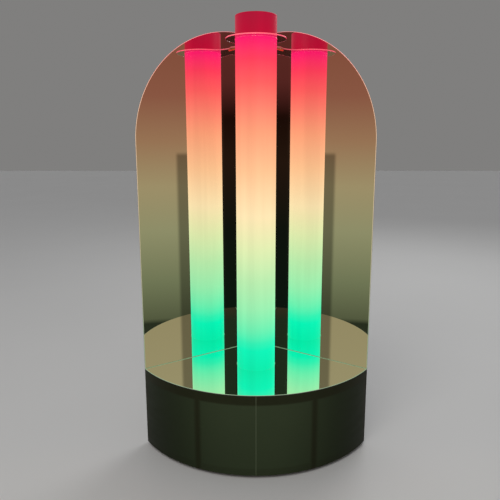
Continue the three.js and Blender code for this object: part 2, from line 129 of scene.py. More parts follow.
def make_camera():
    data = bpy.data.cameras.new("camera")
    data.sensor_width = 36
    data.lens = CAMERA_LENS
    data.shift_x = CAMERA_SHIFT
    camera = bpy.data.objects.new("camera", data)
    camera.location = CORNER + Vector((0, -CAMERA_BACK, PLINTH_TOP + CAMERA_UP))
    camera.rotation_euler = (math.pi / 2 - CAMERA_PITCH, 0, 0)
    bpy.context.collection.objects.link(camera)
    bpy.context.scene.camera = camera


make_camera()


# ------------------------------------------------------------------ node helper
def linear(red, green, blue):
    """A colour given as screen values from 0 to 255."""
    channels = [c / 255 for c in (red, green, blue)]
    curve = [c / 12.92 if c <= 0.04045 else ((c + 0.055) / 1.055) ** 2.4 for c in channels]
    return (*curve, 1.0)


class Graph:
    """The node tree of a new material, or of a world. Inputs are values or other nodes' sockets."""

    def __init__(self, owner, coordinates="Object"):
        self.owner = bpy.data.materials.new(owner) if isinstance(owner, str) else owner
        self.owner.use_nodes = True
        self.tree = self.owner.node_tree
        self.tree.nodes.clear()
        self.place = self.add("ShaderNodeTexCoord").outputs[coordinates]

    def add(self, kind, inputs=None, **settings):
        node = self.tree.nodes.new(kind)
        for key, value in settings.items():
            setattr(node, key, value)
        for key, value in (inputs or {}).items():
            if isinstance(value, bpy.types.NodeSocket):
                self.tree.links.new(value, node.inputs[key])
            else:
                node.inputs[key].default_value = value
        return node

    def math(self, operation, a, b=0.0):
        return self.add("ShaderNodeMath", {0: a, 1: b}, operation=operation).outputs[0]

    def hypotenuse(self, a, b):
        squares = self.math("ADD", self.math("MULTIPLY", a, a), self.math("MULTIPLY", b, b))
        return self.math("SQRT", squares)

    def axes(self):
        split = self.add("ShaderNodeSeparateXYZ", {0: self.place})
        return split.outputs[0], split.outputs[1], split.outputs[2]

    def stretched(self, x, y, z):
        return self.add("ShaderNodeMapping", {"Vector": self.place, "Scale": (x, y, z)}).outputs[0]

    def noise(self, scale, vector=None, detail=4.0, roughness=0.55):
        inputs = {"Vector": vector or self.place, "Scale": scale, "Detail": detail}
        inputs["Roughness"] = roughness
        return self.add("ShaderNodeTexNoise", inputs).outputs["Fac"]

    def remap(self, value, low, high, new_low=0.0, new_high=1.0, shape="SMOOTHSTEP"):
        inputs = {"Value": value, "From Min": low, "From Max": high}
        inputs.update({"To Min": new_low, "To Max": new_high})
        return self.add("ShaderNodeMapRange", inputs, interpolation_type=shape).outputs[0]

    def band(self, value, start, full, fading, end):
        """0 up to start, 1 from full to fading, and 0 again from end."""
        rise = self.remap(value, start, full)
        fall = self.remap(value, fading, end, 1.0, 0.0)
        return self.math("MULTIPLY", rise, fall)

    def mix(self, factor, a, b, blend="MIX"):
        node = self.add("ShaderNodeMix", data_type="RGBA", blend_type=blend)
        for index, value in ((0, factor), (6, a), (7, b)):
            if isinstance(value, bpy.types.NodeSocket):
                self.tree.links.new(value, node.inputs[index])
            else:
                node.inputs[index].default_value = value
        return node.outputs[2]

    def ramp(self, factor, stops):
        node = self.add("ShaderNodeValToRGB", {"Fac": factor})
        node.color_ramp.interpolation = "LINEAR"
        elements = node.color_ramp.elements
        while len(elements) > 1:
            elements.remove(elements[0])
        elements[0].position, elements[0].color = stops[0]
        for position, colour in stops[1:]:
            elements.new(position).color = colour
        return node.outputs["Color"]

    def bump(self, height, strength, distance):
        inputs = {"Height": height, "Strength": strength, "Distance": distance}
        return self.add("ShaderNodeBump", inputs).outputs["Normal"]

    def shade(self, inputs):
        shader = self.add("ShaderNodeBsdfPrincipled", inputs)
        output = self.add("ShaderNodeOutputMaterial")
        self.tree.links.new(shader.outputs[0], output.inputs["Surface"])
        return self.owner


# ------------------------------------------------------------------ materials
# The light's colours from the plinth upwards: (fraction of the way to the collar, colour).
GLOW = [
    (0.00, linear(0, 236, 172)),
    (0.065, linear(0, 244, 184)),
    (0.09, linear(48, 242, 181)),
    (0.13, linear(106, 242, 179)),
    (0.20, linear(154, 241, 178)),
    (0.29, linear(186, 237, 175)),
    (0.385, linear(222, 236, 176)),
    (0.49, linear(252, 228, 178)),
    (0.62, linear(255, 196, 146)),
    (0.735, linear(255, 162, 122)),
    (0.82, linear(255, 124, 106)),
    (0.875, linear(255, 94, 94)),
    (0.94, linear(255, 60, 90)),
    (1.00, linear(255, 22, 108)),
]
# The unlit end above the collar, at its foot and at its top.
DIM_LOW = linear(186, 0, 48)
DIM_HIGH = linear(176, 6, 50)
SILVER = (0.97, 0.97, 0.945, 1.0)


def up_the_tube(g):
    """0 at the plinth's top, 1 at the collar's underside."""
    height = g.axes()[2]
    return g.math("DIVIDE", g.math("SUBTRACT", height, PLINTH_TOP), COLLAR_LOW[2] - PLINTH_TOP)


def opal_material():
    g = Graph("opal_glow")
    lit = g.ramp(up_the_tube(g), GLOW)
    height = g.axes()[2]
    above = g.remap(height, COLLAR_HIGH[2] - 0.001, COLLAR_HIGH[2] + 0.003)
    fade = g.remap(height, COLLAR_HIGH[2], CAP_HIGH[2])
    colour = g.mix(above, lit, g.mix(fade, DIM_LOW, DIM_HIGH))
    streaks = g.noise(26.0, g.stretched(1.0, 1.0, 0.04), 3.0)
    clouds = g.noise(7.0, g.stretched(1.0, 1.0, 0.5), 2.0)
    streaks, clouds = g.remap(streaks, 0.3, 0.7, 0.93, 1.03), g.remap(clouds, 0.3, 0.7, -0.03, 0.02)
    level = g.math("ADD", streaks, clouds)
    colour = g.mix(1.0, colour, level, "MULTIPLY")
    fine = g.noise(900.0)
    return g.shade({
        "Base Color": g.mix(0.94, colour, (0.01, 0.01, 0.01, 1.0)),
        "Roughness": g.remap(fine, 0.2, 0.8, 0.38, 0.46),
        "Normal": g.bump(fine, 0.04, 0.0003),
        "IOR": 1.49,
        "Specular IOR Level": 0.12,
        "Emission Color": colour,
        "Emission Strength": 1.0,
    })


def mirror_material():
    g = Graph("silver_mirror")
    smears = g.noise(9.0, g.stretched(1.0, 1.0, 0.3), 5.0)
    dust = g.noise(420.0, detail=2.0)
    haze = g.math("MULTIPLY", g.remap(smears, 0.45, 0.75), g.remap(dust, 0.5, 0.8))
    return g.shade({
        "Base Color": g.mix(haze, SILVER, (0.93, 0.925, 0.90, 1.0)),
        "Metallic": 1.0,
        "Roughness": g.remap(haze, 0.0, 1.0, 0.012, 0.05),
    })


def mirror_edge_material():
    """The polished edge of a mirror, with a painted glow: emission in the tube's colours, paler and
    stronger higher up, stands in for the tube's light caught in the edge.
    """
    g = Graph("mirror_edge")
    glow = g.ramp(up_the_tube(g), GLOW)
    height = g.axes()[2]
    saw = g.noise(1500.0, g.stretched(1.0, 1.0, 0.05), 2.0)
    rising = g.remap(height, 0.3, 0.5, 0.62, 0.82)
    pale = g.math("MULTIPLY", rising, g.remap(height, 0.85, ARCH_TOP, 1.0, 0.5))
    cut = g.remap(saw, 0.3, 0.7)
    return g.shade({
        "Base Color": g.mix(cut, (0.22, 0.19, 0.17, 1.0), (0.30, 0.26, 0.23, 1.0)),
        "Roughness": g.remap(saw, 0.2, 0.8, 0.35, 0.5),
        "IOR": 1.49,
        "Specular IOR Level": 0.05,
        # Painted glow: the tube's colours low down, paler and stronger towards the arch.
        "Emission Color": g.mix(pale, glow, linear(196, 176, 146)),
        "Emission Strength": g.remap(height, PLINTH_TOP, ARCH_TOP, 0.6, 1.5),
    })


def mirror_side_material():
    """The sawn sides of a mirror, below its polished arris."""
    g = Graph("mirror_side")
    saw = g.noise(900.0, g.stretched(1.0, 1.0, 0.05), 3.0)
    return g.shade({
        "Base Color": g.mix(saw, (0.045, 0.045, 0.04, 1.0), (0.075, 0.074, 0.068, 1.0)),
        "Roughness": g.remap(saw, 0.2, 0.8, 0.4, 0.55),
        "Normal": g.bump(saw, 0.1, 0.0001),
        "IOR": 1.49,
    })


def mirror_back_material():
    g = Graph("mirror_back_paint")
    mottle = g.noise(60.0)
    return g.shade({
        "Base Color": g.mix(mottle, (0.13, 0.13, 0.13, 1.0), (0.19, 0.19, 0.185, 1.0)),
        "Roughness": g.remap(mottle, 0.2, 0.8, 0.5, 0.65),
        "Normal": g.bump(g.noise(700.0), 0.15, 0.0002),
    })


def near_tube(g, near, far):
    """1 close to the tube's axis, 0 far from it."""
    x, y, _ = g.axes()
    distance = g.hypotenuse(x, g.math("SUBTRACT", y, TUBE_Y))
    return g.remap(distance, near, far, 1.0, 0.0)


def acrylic_material():
    g = Graph("clear_acrylic")
    scuffs = g.noise(70.0, g.stretched(1.0, 3.0, 1.0), 6.0)
    return g.shade({
        "Base Color": g.mix(scuffs, (1.0, 0.985, 0.985, 1.0), (0.985, 0.95, 0.955, 1.0)),
        "Roughness": 0.0,
        "IOR": 1.49,
        "Transmission Weight": 1.0,
    })


def acrylic_edge_material():
    # Painted glow: pink emission, stronger near the tube, stands in for the tube's light caught in
    # the collar's cut edge.
    g = Graph("lit_acrylic_edge")
    close = near_tube(g, COLLAR_RADIUS, 0.15)
    cut = g.noise(1200.0, g.stretched(1.0, 1.0, 0.1), 2.0)
    colour = g.mix(close, linear(150, 74, 70), linear(244, 70, 110))
    return g.shade({
        "Base Color": g.mix(cut, linear(235, 150, 150), linear(250, 180, 175)),
        "Roughness": g.remap(cut, 0.2, 0.8, 0.08, 0.2),
        "IOR": 1.49,
        "Transmission Weight": 0.5,
        "Emission Color": colour,
        "Emission Strength": g.remap(close, 0.0, 1.0, 0.28, 0.52),
    })


def skin_material():
    """Smoked satin acrylic, with painted shade: the frame behind it is painted on as soft darker
    bands of timber colour, in place of the frame seen through the skin.
    """
    g = Graph("smoked_skin")
    x, y, z = g.axes()
    turn = g.math("ABSOLUTE", g.math("ARCTAN2", x, g.math("SUBTRACT", CORNER_Y, y)))
    soft, beyond = 0.006, 0.05

    def shadow(value, low, high, spread):
        return g.band(value, low - spread, low + spread, high - spread, high + spread)

    rib_half, post_width = RIB_THICK / 2 / RADIUS, 0.045
    deck = shadow(z, DECK_LOW[2], DECK_HIGH[2] + beyond, soft / 2)
    bottom = shadow(z, BOTTOM_LOW[2] - beyond, BOTTOM_HIGH[2], soft / 2)
    rib = shadow(turn, RIB_ANGLE - rib_half, RIB_ANGLE + rib_half, soft / RADIUS)
    post = shadow(turn, HALF_ANGLE - post_width, HALF_ANGLE + 0.2, soft / RADIUS)
    bottom = g.math("MULTIPLY", bottom, 0.3)
    behind = g.math("MAXIMUM", g.math("MAXIMUM", deck, bottom), g.math("MAXIMUM", rib, post))
    cloud = g.noise(5.0, g.stretched(1.0, 1.0, 0.6), 3.0)
    centre = g.mix(cloud, linear(66, 78, 54), linear(74, 86, 60))
    # Painted shade: the colour darkens from the middle towards both sides.
    side_shaded_field = g.mix(g.remap(turn, 0.1, 0.85), centre, linear(43, 51, 33))
    grain = g.noise(40.0, g.stretched(1.0, 1.0, 0.2))
    timber = g.mix(grain, linear(42, 43, 26), linear(50, 50, 30))
    texture = g.noise(650.0, detail=3.0)
    wipes = g.noise(16.0, g.stretched(1.0, 1.0, 4.0), 5.0)
    # Painted shade: timber colour over the field where the frame stands behind the skin.
    colour = g.mix(g.math("MULTIPLY", behind, 0.8), side_shaded_field, timber)
    # Painted shade: darker towards the bottom.
    bottom_shaded = g.remap(z, SKIN_LOW[2], SKIN_HIGH[2], 0.70, 0.84)
    seam = g.remap(g.math("ABSOLUTE", x), 0.0004, 0.0012, 1.0, 0.0)
    colour = g.mix(seam, g.mix(1.0, colour, bottom_shaded, "MULTIPLY"), linear(104, 114, 88))
    return g.shade({
        "Base Color": colour,
        "Roughness": g.remap(wipes, 0.25, 0.75, 0.36, 0.46),
        "Normal": g.bump(texture, 0.08, 0.0002),
        "IOR": 1.49,
        "Specular IOR Level": 0.1,
    })


def brass_material():
    g = Graph("copper_brass")
    turned = g.noise(500.0, detail=2.0)
    tarnish = g.noise(90.0)
    return g.shade({
        "Base Color": g.mix(tarnish, linear(250, 184, 138), linear(228, 152, 104)),
        "Metallic": 1.0,
        "Roughness": g.remap(turned, 0.2, 0.8, 0.24, 0.40),
        "Normal": g.bump(turned, 0.1, 0.0001),
    })


def brushed_metal(name, light, dark, stretch=(1.0, 1.0, 1.0)):
    g = Graph(name)
    hairs = g.noise(240.0, g.stretched(*stretch), 4.0, 0.7)
    marks = g.noise(25.0)
    return g.shade({
        "Base Color": g.mix(marks, light, dark),
        "Metallic": 1.0,
        "Roughness": g.remap(hairs, 0.2, 0.8, 0.26, 0.46),
        "Normal": g.bump(hairs, 0.12, 0.0002),
    })


def moulded_plastic(name, light, dark, rough=0.45):
    g = Graph(name)
    grain = g.noise(900.0, detail=2.0)
    wear = g.noise(30.0)
    return g.shade({
        "Base Color": g.mix(wear, light, dark),
        "Roughness": g.remap(grain, 0.2, 0.8, rough - 0.06, rough + 0.08),
        "Normal": g.bump(grain, 0.18, 0.0002),
    })


def board_material():
    """Black laminated board with a faint orange-peel face and brown core at its cut edges."""
    g = Graph("black_board")
    peel = g.noise(380.0, detail=3.0)
    scuff = g.noise(11.0, g.stretched(1.0, 1.0, 2.5), 6.0, 0.65)
    edge = g.add("ShaderNodeBevel", {"Radius": 0.0008}, samples=4).outputs[0]
    normal = g.add("ShaderNodeNewGeometry").outputs["Normal"]
    facing = g.add("ShaderNodeVectorMath", {0: edge, 1: normal}, operation="DOT_PRODUCT")
    worn = g.remap(facing.outputs["Value"], 0.985, 0.90)
    face = g.mix(g.remap(scuff, 0.35, 0.9), (0.022, 0.021, 0.019, 1.0), (0.033, 0.031, 0.028, 1.0))
    return g.shade({
        "Base Color": g.mix(worn, face, (0.085, 0.07, 0.055, 1.0)),
        "Roughness": g.remap(scuff, 0.3, 0.8, 0.42, 0.58),
        "Normal": g.bump(peel, 0.12, 0.0003),
    })


def timber_material():
    g = Graph("stained_timber")
    rings = g.noise(14.0, g.stretched(1.0, 6.0, 6.0), 6.0)
    pores = g.noise(260.0, g.stretched(0.15, 1.0, 1.0), 3.0)
    return g.shade({
        "Base Color": g.mix(rings, linear(70, 52, 34), linear(104, 80, 54)),
        "Roughness": g.remap(pores, 0.2, 0.8, 0.55, 0.72),
        "Normal": g.bump(pores, 0.3, 0.0004),
    })


def rubber_material(name):
    g = Graph(name)
    grain = g.noise(1100.0, detail=2.0)
    dust = g.noise(45.0)
    return g.shade({
        "Base Color": g.mix(dust, (0.012, 0.012, 0.012, 1.0), (0.035, 0.034, 0.032, 1.0)),
        "Roughness": g.remap(dust, 0.3, 0.7, 0.62, 0.8),
        "Normal": g.bump(grain, 0.25, 0.0003),
    })


def circuit_material():
    g = Graph("circuit_board")
    pads = g.add("ShaderNodeTexBrick", {
        "Vector": g.place,
        "Scale": 60.0,
        "Color1": (0.84, 0.84, 0.80, 1.0),
        "Color2": (0.80, 0.80, 0.76, 1.0),
        "Mortar": (0.62, 0.50, 0.30, 1.0),
        "Mortar Size": 0.012,
    }).outputs["Color"]
    return g.shade({"Base Color": pads, "Roughness": g.remap(g.noise(300.0), 0.2, 0.8, 0.35, 0.5)})


def panel_material():
    """Brushed aluminium, with dark marks printed round the knob and a ring round the button."""
    mark_step, mark_end, mark_half_width = math.radians(27), math.radians(136), 0.0003
    mark_reach, ring_reach = (0.0122, 0.0146), (0.0054, 0.0058)
    g = Graph("printed_panel")
    x, y, z = g.axes()
    wing_turn = Matrix.Rotation(WING_TURN, 3, "Z")
    origin = CORNER + wing_turn @ Vector((PANEL_ALONG, ANGLE_BACK, PANEL_Z))
    aside = wing_turn @ Vector((-1, 0, 0))
    across = g.math("ADD", g.math("MULTIPLY", x, aside.x), g.math("MULTIPLY", y, aside.y))
    across = g.math("SUBTRACT", across, origin.x * aside.x + origin.y * aside.y)
    up = g.math("SUBTRACT", z, PANEL_Z)

    def polar(centre):
        sideways = g.math("SUBTRACT", across, centre)
        return g.hypotenuse(sideways, up), g.math("ARCTAN2", sideways, up)

    def within(value, low, high):
        above, below = g.math("GREATER_THAN", value, low), g.math("LESS_THAN", value, high)
        return g.math("MULTIPLY", above, below)

    radius, turn = polar(KNOB_X)
    steps = g.math("ADD", g.math("DIVIDE", turn, mark_step), 0.5)
    off_mark = g.math("ABSOLUTE", g.math("SUBTRACT", g.math("FRACT", steps), 0.5))
    off_mark = g.math("MULTIPLY", g.math("MULTIPLY", off_mark, mark_step), radius)
    on_mark = g.math("LESS_THAN", off_mark, mark_half_width)
    on_dial = g.math("LESS_THAN", g.math("ABSOLUTE", turn), mark_end)
    marks = g.math("MULTIPLY", on_mark, within(radius, *mark_reach))
    marks = g.math("MULTIPLY", marks, on_dial)
    ring = within(polar(BUTTON_X)[0], *ring_reach)
    ink = g.math("MAXIMUM", marks, ring)
    hairs = g.noise(260.0, g.stretched(1.0, 1.0, 14.0), 4.0, 0.7)
    base = g.mix(g.noise(25.0), (0.66, 0.67, 0.68, 1.0), (0.57, 0.58, 0.59, 1.0))
    return g.shade({
        "Base Color": g.mix(ink, base, (0.02, 0.02, 0.022, 1.0)),
        "Metallic": g.math("SUBTRACT", 1.0, ink),
        "Roughness": g.remap(hairs, 0.2, 0.8, 0.28, 0.46),
        "Normal": g.bump(hairs, 0.10, 0.0002),
    })


OPAL = opal_material()
MIRROR = mirror_material()
MIRROR_EDGE_PAINTED_GLOW = mirror_edge_material()
MIRROR_SIDE = mirror_side_material()
MIRROR_BACK = mirror_back_material()
ACRYLIC = acrylic_material()
ACRYLIC_EDGE_PAINTED_GLOW = acrylic_edge_material()
SKIN = skin_material()
BRASS = brass_material()
STEEL = brushed_metal("screw_steel", (0.46, 0.46, 0.47, 1.0), (0.36, 0.36, 0.37, 1.0))
ALUMINIUM = brushed_metal(
    "brushed_aluminium", (0.72, 0.73, 0.74, 1.0), (0.62, 0.63, 0.64, 1.0), (1.0, 1.0, 0.06)
)
PANEL = panel_material()
BOARD = board_material()
TIMBER = timber_material()
RUBBER = rubber_material("foot_rubber")
SHEATH = rubber_material("cable_sheath")
BLACK = moulded_plastic("black_plastic", (0.018, 0.018, 0.02, 1.0), (0.028, 0.028, 0.03, 1.0))
WHITE = moulded_plastic("white_plastic", (0.80, 0.80, 0.77, 1.0), (0.72, 0.72, 0.68, 1.0), 0.38)
CIRCUIT = circuit_material()


# ------------------------------------------------------------------ shapes
def add_object(name, mesh, body, place=None, nodes=()):
    """Puts a finished mesh in the scene, riding on a body and standing for its CAD nodes."""
    piece = bpy.data.objects.new(name, mesh)
    bpy.context.collection.objects.link(piece)
    if place is not None:
        mesh.transform(place)
    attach(piece, body)
    if nodes:
        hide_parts(*nodes)
    return piece


def smooth(mesh, angle):
    """Smooth shading, sharp where faces meet at more than the angle, in degrees."""
    mesh.polygons.foreach_set("use_smooth", [True] * len(mesh.polygons))
    mesh.set_sharp_from_angle(angle=math.radians(angle))


def arc(x, y, radius, start, end, steps):
    """Points round (x, y) from the angle start to the angle end."""
    turns = (start + (end - start) * i / steps for i in range(steps + 1))
    return [(x + radius * math.cos(t), y + radius * math.sin(t)) for t in turns]


def plate_mesh(name, outlines, low, high, bevel):
    """A flat plate: closed outlines in X and Y (holes after the first), filled from low to high,
    with softened edges that stay inside the outline."""
    curve = bpy.data.curves.new(name, "CURVE")
    curve.dimensions = "2D"
    curve.fill_mode = "BOTH"
    curve.extrude = (high - low) / 2 - bevel
    curve.bevel_depth = bevel
    curve.bevel_resolution = 1
    curve.offset = -bevel
    for outline in outlines:
        spline = curve.splines.new("POLY")
        spline.points.add(len(outline) - 1)
        for point, (x, y) in zip(spline.points, outline):
            point.co = (x, y, 0, 1)
        spline.use_cyclic_u = True
    source = bpy.data.objects.new(name, curve)
    bpy.context.collection.objects.link(source)
    mesh = bpy.data.meshes.new_from_object(source)
    bpy.data.objects.remove(source)
    bpy.data.curves.remove(curve)
    mesh.name = name
    mesh.transform(Matrix.Translation((0, 0, (low + high) / 2)))
    smooth(mesh, 12)
    return mesh


def lathe_mesh(name, profile, segments=96, angle=30):
    """Turns a closed profile of (radius, height) points about Z."""
    verts, faces, rings = [], [], []
    for radius, height in profile:
        if radius < 1e-7:
            rings.append([len(verts)] * segments)
            verts.append((0, 0, height))
            continue
        rings.append(list(range(len(verts), len(verts) + segments)))
        for i in range(segments):
            turn = 2 * math.pi * i / segments
            verts.append((radius * math.cos(turn), radius * math.sin(turn), height))
    for a, b in zip(rings, rings[1:] + rings[:1]):
        for i in range(segments):
            j = (i + 1) % segments
            corners = list(dict.fromkeys((a[i], a[j], b[j], b[i])))
            if len(corners) > 2:
                faces.append(corners)
    mesh = bpy.data.meshes.new(name)
    mesh.from_pydata(verts, [], faces)
    mesh.validate()
    smooth(mesh, angle)
    return mesh


def rounded(corner, before, after, radius, steps=4):
    """Points of a fillet at a profile's corner, coming from before and leaving towards after."""
    corner, before, after = Vector(corner), Vector(before), Vector(after)
    start = corner + (before - corner).normalized() * radius
    end = corner + (after - corner).normalized() * radius
    points = []
    for i in range(steps + 1):
        t = i / steps
        points.append(tuple(start * (1 - t) ** 2 + corner * 2 * t * (1 - t) + end * t * t))
    return points


def filleted(points):
    """A closed profile from (x, y, fillet radius) points."""
    result = []
    for i, (x, y, radius) in enumerate(points):
        if radius == 0:
            result.append((x, y))
            continue
        before, after = points[i - 1][:2], points[(i + 1) % len(points)][:2]
        result += rounded((x, y), before, after, radius)
    return result


def paint(mesh, materials, choose=None):
    """Gives a mesh its materials; choose picks the slot of each face from its normal and centre."""
    for material in materials:
        mesh.materials.append(material)
    if choose:
        for face in mesh.polygons:
            face.material_index = choose(face.normal, face.center)


def solid(mesh, tool, operation="DIFFERENCE"):
    """The mesh after a solid operation with a tool; the tool's faces keep their material slots."""
    pieces = [bpy.data.objects.new("work", m) for m in (mesh, tool)]
    for piece in pieces:
        bpy.context.collection.objects.link(piece)
    modifier = pieces[0].modifiers.new("solid", "BOOLEAN")
    modifier.operation = operation
    modifier.solver = "EXACT"
    modifier.object = pieces[1]
    graph = bpy.context.evaluated_depsgraph_get()
    result = bpy.data.meshes.new_from_object(pieces[0].evaluated_get(graph))
    for piece in pieces:
        bpy.data.objects.remove(piece)
    return result


def joined(name, meshes):
    """One mesh from several, with the materials of the first."""
    build = bmesh.new()
    for mesh in meshes:
        build.from_mesh(mesh)
    result = bpy.data.meshes.new(name)
    build.to_mesh(result)
    build.free()
    for material in meshes[0].materials:
        result.materials.append(material)
    return result


def box_outline(x, y, half_width, half_height, radius, steps=5):
    """A rectangle with rounded corners."""
    points = []
    for i, (sx, sy) in enumerate(((1, 1), (-1, 1), (-1, -1), (1, -1))):
        cx, cy = x + sx * (half_width - radius), y + sy * (half_height - radius)
        points += arc(cx, cy, radius, i * math.pi / 2, (i + 1) * math.pi / 2, steps)
    return points


def circle(x, y, radius, steps=40):
    return arc(x, y, radius, 0, 2 * math.pi, steps)[:-1]


def flipped(angle=math.pi):
    """A turn about Y, by default to face the other way."""
    return Matrix.Rotation(angle, 4, "Y")


def upright():
    """Stands a plate that was drawn lying flat."""
    return Matrix.Rotation(math.pi / 2, 4, "X")


def wing_place(side):
    """From a plate drawn as (along, up), thick along -Z, to a wing's place."""
    return Matrix.Translation(CORNER) @ Matrix.Rotation(WING_TURN * side, 4, "Z") @ upright()


# ------------------------------------------------------------------ light tube
def make_light_tube():
    low, high = TUBE_LOW[2], TUBE_HIGH[2]
    inner, outer = TUBE_RADIUS - TUBE_WALL, TUBE_RADIUS
    soft, lid_wall = 0.0004, 0.003
    wall = [(inner, low, 0), (outer, low, soft), (outer, high, soft), (inner, high, 0)]
    mesh = lathe_mesh("opal_tube", filleted(wall), 128)
    paint(mesh, [OPAL])
    place = Matrix.Translation((0, TUBE_Y, 0))
    add_object("opal_tube", mesh, "light_tube", place, ["diffuser_tube"])

    lid_low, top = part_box("tube_top_cap")[0][2], CAP_HIGH[2]
    fit, seat = inner - GAP, high + GAP
    lid = [
        (0, seat, 0), (fit - lid_wall, seat, 0), (fit - lid_wall, lid_low, 0), (fit, lid_low, 0),
        (fit, seat, 0), (outer, seat, 0.0003), (outer, top, 0.0018), (0, top, 0),
    ]
    mesh = lathe_mesh("opal_lid", filleted(lid), 128)
    paint(mesh, [OPAL])
    add_object("opal_lid", mesh, "light_tube", place, ["tube_top_cap"])


# ------------------------------------------------------------------ collar
def tube_hole():
    return circle(0, TUBE_FROM_CORNER, TUBE_RADIUS + CLEAR, 96)


def collar_outline():
    """The ring round the tube, narrowing to a waist and flaring to the mirrors."""
    waist, waist_y, r = COLLAR_WAIST, COLLAR_WAIST_Y, COLLAR_RADIUS
    # the hollow arc that touches the ring and passes through the waist
    reach = waist_y - TUBE_FROM_CORNER
    hollow = (waist * waist + reach * reach - r * r) / (2 * (r - waist))
    cx = waist + hollow
    touch = math.atan2(reach, cx)
    # where that arc meets the line just in front of the mirror
    slope = -1 / math.tan(HALF_ANGLE)
    back = -CLEAR / math.sin(HALF_ANGLE)
    a = 1 + slope * slope
    b = -2 * cx + 2 * slope * (back - waist_y)
    c = cx * cx + (back - waist_y) ** 2 - hollow * hollow
    end_x = (-b - math.sqrt(b * b - 4 * a * c)) / (2 * a)
    end = math.atan2(back + slope * end_x - waist_y, end_x - cx)
    points = [(0, back)]
    points += arc(-cx, waist_y, hollow, math.pi - end, -touch, 40)
    points += arc(0, TUBE_FROM_CORNER, r, math.pi - touch, 2 * math.pi + touch, 120)[1:-1]
    points += arc(cx, waist_y, hollow, math.pi + touch, end, 40)
    return points


def make_collar():
    outlines = [collar_outline(), tube_hole()]
    mesh = plate_mesh("clear_collar", outlines, COLLAR_LOW[2], COLLAR_HIGH[2], 0.0004)
    paint(mesh, [ACRYLIC, ACRYLIC_EDGE_PAINTED_GLOW], lambda normal, centre: int(abs(normal.z) < 0.5))
    place = Matrix.Translation(CORNER)
    add_object("clear_collar", mesh, "lamp", place, ["collar_plate"])


# ------------------------------------------------------------------ mirrors
POLISH = 0.0008  # width of a mirror's polished arris
MIRROR_LOOKS = [MIRROR, MIRROR_EDGE_PAINTED_GLOW, MIRROR_SIDE, MIRROR_BACK]


def mirror_face(normal, centre):
    """The look of a face of a flat plate: silver on top, its polished arris, sides, back."""
    return 0 if normal.z > 0.99 else 1 if normal.z > 0.2 else 2 if normal.z > -0.99 else 3


def make_wing_mirror(side, hand):
    low = PLINTH_TOP + GAP
    spring = ARCH_TOP - ARCH_RADIUS
    last = math.acos((GAP - ARCH_CENTRE) / ARCH_RADIUS)
    outline = [(GAP, low), (RADIUS, low)]
    outline += arc(ARCH_CENTRE, spring, ARCH_RADIUS, 0, last, 110)
    outline = [(side * x, z) for x, z in outline]
    mesh = plate_mesh(f"mirror_{hand}", [outline], -MIRROR_THICK, 0, POLISH)
    paint(mesh, MIRROR_LOOKS, mirror_face)
    nodes = [f"wing_mirror_{hand}"]
    add_object(f"mirror_{hand}", mesh, "lamp", wing_place(side), nodes)


def make_top_mirror():
    inset = MIRROR_THICK - GAP
    end = HALF_ANGLE + math.asin(inset / RADIUS)
    outline = [(0, inset / math.sin(HALF_ANGLE))]
    outline += arc(0, 0, RADIUS, end - math.pi / 2, -end - math.pi / 2, 160)
    mesh = plate_mesh("mirrored_top", [outline, tube_hole()], TOP_LOW[2], PLINTH_TOP, POLISH)
    paint(mesh, MIRROR_LOOKS, mirror_face)
    place = Matrix.Translation(CORNER)
    add_object("mirrored_top", mesh, "lamp", place, ["plinth_top_mirror"])


def make_skin(side, hand):
    """One half of the curved front, from the seam at the middle to the wing's mirror."""
    middle = -math.pi / 2
    seam = middle + side * GAP / 2 / RADIUS
    end = middle + side * (HALF_ANGLE + math.asin((MIRROR_THICK - GAP) / RADIUS) - GAP / RADIUS)
    outline = arc(0, 0, RADIUS, seam, end, 90) + arc(0, 0, RADIUS - SKIN_THICK, end, seam, 90)
    mesh = plate_mesh(f"skin_{hand}", [outline], SKIN_LOW[2], SKIN_HIGH[2], 0.0005)
    paint(mesh, [SKIN])
    place = Matrix.Translation(CORNER)
    add_object(f"skin_{hand}", mesh, "lamp", place, [f"front_skin_{hand}"])


# ------------------------------------------------------------------ rear boards
def make_rear_board(side, hand):
    """The black board behind a mirror, mitred at the corner, with vents or a window."""
    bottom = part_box(f"rear_board_{hand}")[0][2]
    radius, spring = ARCH_RADIUS - BOARD_INSET, ARCH_TOP - ARCH_RADIUS
    last = math.acos((BOARD_START - ARCH_CENTRE) / radius)
    outline = [(BOARD_START, bottom), (ARCH_CENTRE + radius, bottom)]
    outline += arc(ARCH_CENTRE, spring, radius, 0, last, 110)
    if side < 0:
        holes = [box_outline(x, PANEL_Z, 0.0018, 0.035, 0.0016) for x in VENT_SLOTS]
    else:
        half_width, half_height = PANEL_WIDTH / 2 - 0.014, PANEL_HEIGHT / 2 - 0.005
        holes = [box_outline(PANEL_ALONG, PANEL_Z, half_width, half_height, 0.003)]
    outlines = [[(side * x, z) for x, z in points] for points in (outline, *holes)]
    mesh = plate_mesh(f"board_{hand}", outlines, -BOARD_FRONT - BOARD_THICK, -BOARD_FRONT, 0.0007)
    mitre = math.tan(math.pi / 2 - HALF_ANGLE)
    for vertex in mesh.vertices:
        if abs(vertex.co.x) < 0.003:
            vertex.co.x += side * (vertex.co.z + BOARD_FRONT) * mitre
    paint(mesh, [BOARD])
    nodes = [f"rear_board_{hand}"]
    add_object(f"board_{hand}", mesh, "lamp", wing_place(side), nodes)


